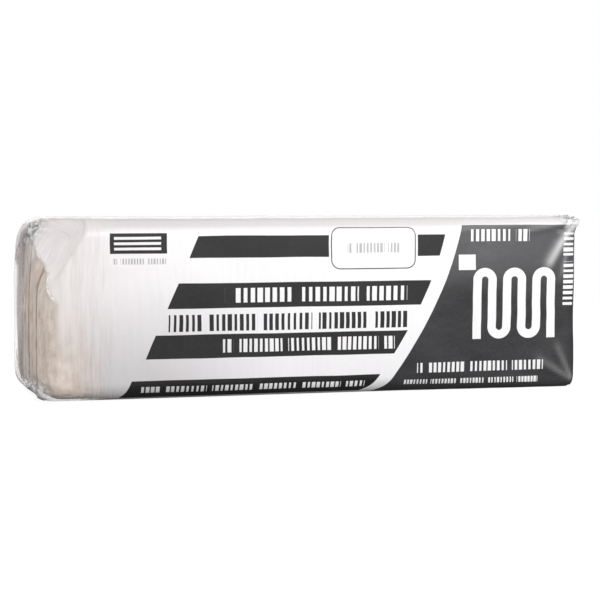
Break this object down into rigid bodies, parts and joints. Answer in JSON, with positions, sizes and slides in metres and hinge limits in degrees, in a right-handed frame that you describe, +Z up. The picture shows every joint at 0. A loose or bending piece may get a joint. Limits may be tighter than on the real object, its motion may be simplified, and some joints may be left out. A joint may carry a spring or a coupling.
{
  "type": "bagged bundle of fiberglass insulation batts",
  "caption": "Compressed stack of kraft-faced glass-fibre insulation batts in a tight printed film bag, sealed at both ends, lying on its long edge.",
  "frame": {"origin": "middle of the bag's underside, on the floor", "axes": "+X along the batts towards the end with the printed block, +Y through the stack away from the viewer of the printed front, +Z up"},
  "size_m": [1.2712, 0.4018, 0.4084],
  "materials": {
    "glass_fibre": "matte glass wool",
    "kraft_paper": "brown kraft paper",
    "bag_film": "printed polyethylene film, white with near-black bands, clear at one end"
  },
  "bodies": {
    "root": {"batt_1": "glass_fibre", "batt_2": "glass_fibre", "batt_3": "glass_fibre", "batt_4": "glass_fibre", "batt_5": "glass_fibre", "batt_6": "glass_fibre", "batt_7": "glass_fibre", "batt_8": "glass_fibre", "facing_1": "kraft_paper", "facing_2": "kraft_paper", "facing_3": "kraft_paper", "facing_4": "kraft_paper", "facing_5": "kraft_paper", "facing_6": "kraft_paper", "facing_7": "kraft_paper", "facing_8": "kraft_paper", "bag": "bag_film"}
  },
  "joints": []
}
